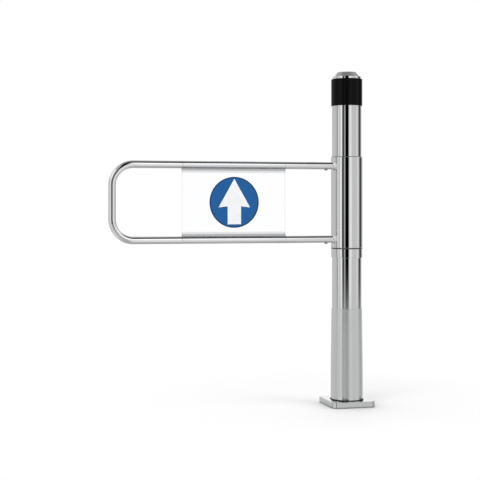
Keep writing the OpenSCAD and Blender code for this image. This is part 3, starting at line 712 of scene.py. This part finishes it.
class GATE_OT_top(bpy.types.Operator):
    """Make the black ring and the chromed cap"""

    bl_idname = "gate.top"
    bl_label = "Ring and cap"

    def execute(self, context):
        sizes = context.scene.gate_sizes
        low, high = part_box("top_ring")
        gap = 0.00005
        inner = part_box("post_tube")[1].x + gap
        foot = low.z - sizes.ring_lip
        ring = spun("black_ring", [
            (inner, foot, 0, 1),
            (high.x, foot, sizes.ring_edge, 5),
            (high.x, high.z, sizes.ring_edge, 5),
            (inner, high.z, 0, 1),
        ], finish("black ring"))
        hand_over(ring, "post", "black_plastic", "top_ring")
        low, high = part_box("top_cap")
        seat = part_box("post_tube")[1].z
        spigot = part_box("shaft_plug")[1].x
        cap = spun("cap", [
            (0, low.z, 0, 1),
            (spigot, low.z, 0, 1),
            (spigot, seat, 0, 1),
            (high.x, seat, 0, 1),
            (high.x, seat + sizes.cap_shoulder, sizes.cap_edge, 4),
            (sizes.cap_flat, high.z, sizes.cap_edge, 4),
            (0, high.z, 0, 1),
        ], finish("chrome"))
        hand_over(cap, "post", "chrome", "top_cap")
        return {"FINISHED"}


class GATE_OT_spring(bpy.types.Operator):
    """Wind the closing spring from its lower leg, in the post, to its upper leg, in the gate; the piece is
    not fixed to either
    """

    bl_idname = "gate.spring"
    bl_label = "Closing spring"

    def execute(self, context):
        sizes = context.scene.gate_sizes
        low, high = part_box("torsion_spring")
        reach = sizes.spring_middle / 2
        bend = sizes.spring_wire * 1.2
        bend_steps, turn_steps, wire_sides = 6, 24, 12
        bottom, top = low.z + sizes.spring_leg, high.z - sizes.spring_leg
        run = -math.tau * reach * sizes.spring_turns
        # The wire's middle line, unrolled: distance round the spring and height.
        line = [(0, low.z)]
        quarter = [math.radians(90 / bend_steps * i) for i in range(bend_steps + 1)]
        line += [(-bend * (1 - math.cos(a)), bottom - bend * (1 - math.sin(a))) for a in quarter]
        steps = sizes.spring_turns * turn_steps
        line += [(run * i / steps - bend, bottom + (top - bottom) * i / steps) for i in range(1, steps + 1)]
        line += [(run - bend * (1 + math.sin(a)), top + bend * (1 - math.cos(a))) for a in quarter[1:]]
        line.append((run - 2 * bend, high.z))
        bm = bmesh.new()
        before = []
        for i, (way, height) in enumerate(line):
            ahead, behind = line[min(i + 1, len(line) - 1)], line[max(i - 1, 0)]
            angle = way / reach
            out = Vector((math.cos(angle), math.sin(angle), 0))
            along = UP.cross(out) * (ahead[0] - behind[0]) + UP * (ahead[1] - behind[1])
            along.normalize()
            place = Matrix((out, along.cross(out), along)).transposed().to_4x4()
            place.translation = out * reach + UP * height
            ring = bmesh.ops.create_circle(bm, cap_ends=i in (0, len(line) - 1), segments=wire_sides,
                                           radius=sizes.spring_wire / 2, matrix=place)["verts"]
            loop = edges_of(ring)
            if before:
                bmesh.ops.bridge_loops(bm, edges=before + loop)
            before = loop
        spring = finished_object(bm, "closing_spring", finish("spring wire"), even_normals=False)
        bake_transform(spring)
        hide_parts("torsion_spring")
        return {"FINISHED"}


class GATE_OT_screws(bpy.types.Operator):
    """Make the button-head screws of the arm, the sleeve and the panel"""

    bl_idname = "gate.screws"
    bl_label = "Screws"

    def execute(self, context):
        rail_low, rail_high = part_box("arm_tube")
        seats = (rail_low.z, rail_high.z - context.scene.gate_sizes.rail_size)
        places = [facing((0, 0, -1), (box_centre("arm_screws").x, 0, z)) for z in seats]
        arm = screws("arm_button_screws", socket_screw_mesh(**ARM_SCREW), places)
        hand_over(arm, "gate", "steel", "arm_screws")

        sleeve_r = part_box("hub_sleeve")[1].x
        out = Vector((math.cos(DRIVE_TURN), math.sin(DRIVE_TURN), 0))
        middle = box_centre("hub_sleeve").z
        places = [facing(out, out * sleeve_r + UP * (middle + lift)) for lift in DRIVE_LIFTS]
        drive = screws("drive_button_screws", socket_screw_mesh(shank_l=sleeve_r - DRIVE_TIP, **DRIVE_SCREW),
                       places)
        hand_over(drive, "gate", "steel", "drive_screws")

        low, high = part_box("panel_screws")
        clip_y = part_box("sign_panel")[1].y
        head_r = PANEL_SCREW["head_r"]
        places = [facing((0, 1, 0), (x, clip_y, z)) for x in (low.x + head_r, high.x - head_r)
                  for z in (low.z + head_r, high.z - head_r)]
        small = screws("panel_button_screws", socket_screw_mesh(**PANEL_SCREW), places)
        hand_over(small, "gate", "steel", "panel_screws")
        return {"FINISHED"}


class GATE_OT_sign(bpy.types.Operator):
    """Make the round blue sign"""

    bl_idname = "gate.sign"
    bl_label = "Sign"

    def execute(self, context):
        sizes = context.scene.gate_sizes
        low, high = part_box("sign_disc")
        centre = box_centre("sign_disc")
        radius = (high.x - low.x) / 2
        back = high.y - sizes.sign_glue
        thick = back - low.y
        place = Matrix.Translation((centre.x, back, centre.z)) @ Matrix.Rotation(math.radians(90), 4, "X")
        disc = spun("sign_face", [
            (0, 0, 0, 1),
            (radius, 0, 0, 1),
            (radius, thick, sizes.sign_edge, 4),
            (0, thick, 0, 1),
        ], finish("sign blue"), place)
        hand_over(disc, "gate", "sign_blue", "sign_disc")
        return {"FINISHED"}


class GATE_OT_finishes(bpy.types.Operator):
    """Give each piece that comes from the construction model its finish"""

    bl_idname = "gate.finishes"
    bl_label = "Finishes"

    def execute(self, context):
        for node, key in NODE_FINISHES.items():
            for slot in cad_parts[node].material_slots:
                slot.material = finish(key)
        return {"FINISHED"}


def view_axes(stage):
    """The view's direction and its right, both level."""
    turn = stage.camera_turn
    return Vector((math.sin(turn), math.cos(turn), 0)), Vector((math.cos(turn), -math.sin(turn), 0))


def camera_place(stage):
    ahead, right = view_axes(stage)
    aside = (POST_FOOT_X - OPTICAL_CENTRE_X) / stage.focal_pixels * stage.camera_distance
    return -(ahead * stage.camera_distance + right * aside) + UP * stage.camera_height


def seen(tree, path):
    """Whether a ray comes straight from the camera or through the clear panel."""
    return maths(tree, "MAXIMUM", path["Is Camera Ray"], path["Is Transmission Ray"])


class GATE_OT_stage(bpy.types.Operator):
    """Make the floor, the studio light and the camera"""

    bl_idname = "gate.stage"
    bl_label = "Stage and camera"

    def execute(self, context):
        scene = context.scene
        stage = scene.gate_stage
        self.make_floor(scene, stage)
        self.make_walls(scene, stage)
        self.make_world(scene, stage)
        self.make_lamps(scene, stage)
        self.make_camera(scene, stage)
        scene.view_settings.view_transform = "Standard"
        return {"FINISHED"}

    def make_floor(self, scene, stage):
        bm = bmesh.new()
        bmesh.ops.create_circle(bm, cap_ends=True, segments=96, radius=stage.floor_radius)
        self.staged(scene, bm, "studio_floor", self.floor_material(scene.gate_colours.floor))

    def make_walls(self, scene, stage):
        """A ring of light and dark panels round the gate, seen only by its reflecting surfaces."""
        bm = bmesh.new()
        foot = bmesh.ops.create_circle(bm, cap_ends=False, segments=180, radius=stage.wall_distance)["verts"]
        top = bmesh.ops.extrude_edge_only(bm, edges=edges_of(foot))["geom"]
        bmesh.ops.translate(bm, vec=(0, 0, stage.wall_height), verts=picked(top, bmesh.types.BMVert))
        walls = self.staged(scene, bm, "studio_panels", self.wall_material(stage))
        walls.visible_camera = False
        walls.visible_diffuse = False
        walls.visible_transmission = False
        walls.visible_shadow = False

    def staged(self, scene, bm, name, material):
        mesh = bpy.data.meshes.new(name)
        bm.to_mesh(mesh)
        bm.free()
        obj = bpy.data.objects.new(name, mesh)
        scene.collection.objects.link(obj)
        mesh.materials.append(material)
        return obj

    def floor_material(self, colour):
        """Pale floor: it keeps the shadow near the gate, deepened with painted shade from ambient occlusion,
        and runs into the white background.

        The chrome mirrors an even, dully shining floor instead, with a line of painted shade at the gate's
        foot.
        """
        shadow_reach, shadow_tone = 0.12, 0.78
        shade_line_reach, shade_line_tone = 0.03, 0.35
        white_start, white_full = 0.1, 0.7
        material, shader, where = new_finish("Studio floor")
        shader.inputs["Roughness"].default_value = 0.6
        shader.inputs["Specular IOR Level"].default_value = 0.2
        # Painted shade: the floor's colour darkens where ambient occlusion finds the gate near.
        corner = add_node(material, "AmbientOcclusion", {"Distance": shadow_reach}).outputs["AO"]
        painted_shadow_colour = blended(material, ranged(material, corner, 0.0, 1.0, 0.5, 0.98),
                         lighter(colour, shadow_tone), colour)
        plug(material, shader.inputs["Base Color"], painted_shadow_colour)
        path = add_node(material, "LightPath", {}).outputs
        # Painted shade in the mirrored floor: darker where ambient occlusion finds the gate's foot.
        foot = add_node(material, "AmbientOcclusion", {"Distance": shade_line_reach}).outputs["AO"]
        tone = ranged(material, foot, FLOOR_TONE * shade_line_tone, FLOOR_TONE, 0.45, 0.95)
        even = add_node(material, "Emission", {"Color": (0.985, 1.01, 0.995, 1), "Strength": tone})
        sheen = add_node(material, "BsdfGlossy",
                         {"Color": (FLOOR_SHEEN, FLOOR_SHEEN, FLOOR_SHEEN, 1), "Roughness": 0.03})
        mirrored = add_node(material, "AddShader", {0: even.outputs["Emission"], 1: sheen.outputs["BSDF"]})
        white = add_node(material, "Emission", {})
        away = ranged(material, vectors(material, "LENGTH", "Value", {0: where}), 0.0, 1.0, white_start,
                      white_full)
        far = maths(material, "MULTIPLY", away, seen(material, path))
        pale = mixed(material, far, shader.outputs["BSDF"], white.outputs["Emission"])
        shown = mixed(material, path["Is Glossy Ray"], pale, mirrored.outputs["Shader"])
        plug(material, surface(material), shown)
        return material

    def wall_material(self, stage):
        """Glowing panels that fade towards the floor's tone at their foot and shine brighter high up."""
        fade_power, fade_share = 2.4, 0.6
        high_start, high_full, high_gain = 1.3, 1.8, 1.3
        material, shader, where = new_finish("Studio panels")
        parts = split(material, where)
        place = camera_place(stage)
        angle = maths(material, "ARCTAN2", parts["Y"], parts["X"])
        off_camera = maths(material, "SUBTRACT", angle, math.atan2(place.y, place.x))
        share = maths(material, "DIVIDE", off_camera, 2 * math.pi)
        turn = maths(material, "FRACT", maths(material, "ADD", share, 1.5))
        stops = [(edge / 360 + 0.5, level) for start, end, level in PANELS for edge in (start, end)]
        level = grey_ramp(material, turn, stops)
        soft = maths(material, "MULTIPLY_ADD", level, FLOOR_SHEEN, FLOOR_TONE)
        fade = maths(material, "POWER", ranged(material, parts["Z"], 1.0, 0.0, 0.0, stage.wall_foot),
                     fade_power)
        rise = maths(material, "MULTIPLY_ADD", fade, -fade_share, 1.0)
        tone = add_node(material, "Mix", {"Factor": rise, "A": soft, "B": level}, data_type="FLOAT")
        gain = ranged(material, parts["Z"], 1.0, high_gain, high_start, high_full)
        glow = add_node(material, "Emission",
                        {"Strength": maths(material, "MULTIPLY", tone.outputs["Result"], gain)})
        plug(material, surface(material), glow.outputs["Emission"])
        material.node_tree.nodes.remove(shader)
        return material

    def make_world(self, scene, stage):
        """White for the camera and through the clear panel; a studio ceiling for the chrome.

        The ceiling is dark towards the camera and paler behind the gate, on its left and overhead.
        """
        back_tone, front_tone, left_tone, overhead_tone = 0.34, 0.03, 0.45, 0.22
        world = bpy.data.worlds.new("Studio")
        world.use_nodes = True
        scene.world = world
        world.node_tree.nodes.clear()
        direction = add_node(world, "TexCoord", {}).outputs["Generated"]
        path = add_node(world, "LightPath", {}).outputs
        to_camera = camera_place(stage)
        to_camera.z = 0
        front = vectors(world, "DOT_PRODUCT", "Value", {0: direction, 1: to_camera.normalized()})
        aside = vectors(world, "DOT_PRODUCT", "Value", {0: direction, 1: view_axes(stage)[1]})
        level = maths(world, "MAXIMUM", ranged(world, front, back_tone, front_tone, -0.25, 0.25),
                      ranged(world, aside, left_tone, 0.0, -0.45, -0.1))
        overhead = ranged(world, split(world, direction)["Z"], 0.0, 1.0, 0.94, 0.985)
        ceiling = add_node(world, "Mix", {"Factor": overhead, "A": level, "B": overhead_tone},
                           data_type="FLOAT").outputs["Result"]
        even, studio, white = (
            add_node(world, "Background", {"Color": (1, 1, 1, 1), "Strength": strength}).outputs["Background"]
            for strength in (stage.room_light, ceiling, 1.0))
        lit = mixed(world, path["Is Glossy Ray"], even, studio)
        shown = mixed(world, seen(world, path), lit, white)
        add_node(world, "OutputWorld", {"Surface": shown})

    def make_lamps(self, scene, stage):
        target = Vector((-0.25, 0, 0.55))
        for name, place, size, energy in (
            ("key_lamp", (-2.4, -2.6, 2.4), 2.2, stage.key_power),
            ("fill_lamp", (2.6, -2.2, 1.6), 2.0, stage.fill_power),
            ("top_lamp", (-0.3, 0.6, 3.2), 3.0, stage.top_power),
        ):
            data = bpy.data.lights.new(name, "AREA")
            data.shape = "SQUARE"
            data.size = size
            data.energy = energy
            lamp = bpy.data.objects.new(name, data)
            lamp.location = place
            lamp.rotation_euler = (target - Vector(place)).to_track_quat("-Z", "Y").to_euler()
            lamp.visible_glossy = False
            scene.collection.objects.link(lamp)

    def make_camera(self, scene, stage):
        data = bpy.data.cameras.new("photo_camera")
        data.sensor_fit = "HORIZONTAL"
        data.sensor_width = 36.0
        data.lens = stage.focal_pixels / PHOTO_SIZE * data.sensor_width
        data.shift_x = (PHOTO_SIZE / 2 - OPTICAL_CENTRE_X) / PHOTO_SIZE
        data.shift_y = -(PHOTO_SIZE / 2 - HORIZON_Y) / PHOTO_SIZE
        data.clip_end = 50.0
        camera = bpy.data.objects.new("photo_camera", data)
        camera.location = camera_place(stage)
        camera.rotation_euler = (math.pi / 2, 0, -stage.camera_turn)
        scene.collection.objects.link(camera)
        scene.camera = camera


class GATE_PT_panel(bpy.types.Panel):
    """Lists the gate's pieces, sizes and colours"""

    bl_idname = "GATE_PT_panel"
    bl_label = "Pedestrian gate"
    bl_space_type = "VIEW_3D"
    bl_region_type = "UI"
    bl_category = "Gate"

    def draw(self, context):
        scene = context.scene
        for operator in PIECES:
            self.layout.operator(operator.bl_idname)
        for group in (scene.gate_sizes, scene.gate_colours, scene.gate_stage):
            column = self.layout.column()
            for prop in type(group).__annotations__:
                column.prop(group, prop)


PIECES = (
    GATE_OT_floor_cover, GATE_OT_foot_seal, GATE_OT_casing, GATE_OT_top, GATE_OT_spring, GATE_OT_screws,
    GATE_OT_sign, GATE_OT_finishes, GATE_OT_stage,
)
CLASSES = (GateSizes, GateColours, GateStage) + PIECES + (GATE_PT_panel,)


def register():
    for cls in CLASSES:
        bpy.utils.register_class(cls)
    bpy.types.Scene.gate_sizes = PointerProperty(type=GateSizes)
    bpy.types.Scene.gate_colours = PointerProperty(type=GateColours)
    bpy.types.Scene.gate_stage = PointerProperty(type=GateStage)


def unregister():
    del bpy.types.Scene.gate_stage
    del bpy.types.Scene.gate_colours
    del bpy.types.Scene.gate_sizes
    for cls in reversed(CLASSES):
        bpy.utils.unregister_class(cls)


def main():
    register()
    bpy.ops.gate.floor_cover()
    bpy.ops.gate.foot_seal()
    bpy.ops.gate.casing()
    bpy.ops.gate.top()
    bpy.ops.gate.spring()
    bpy.ops.gate.screws()
    bpy.ops.gate.sign()
    bpy.ops.gate.finishes()
    bpy.ops.gate.stage()


if __name__ == "__main__":
    main()
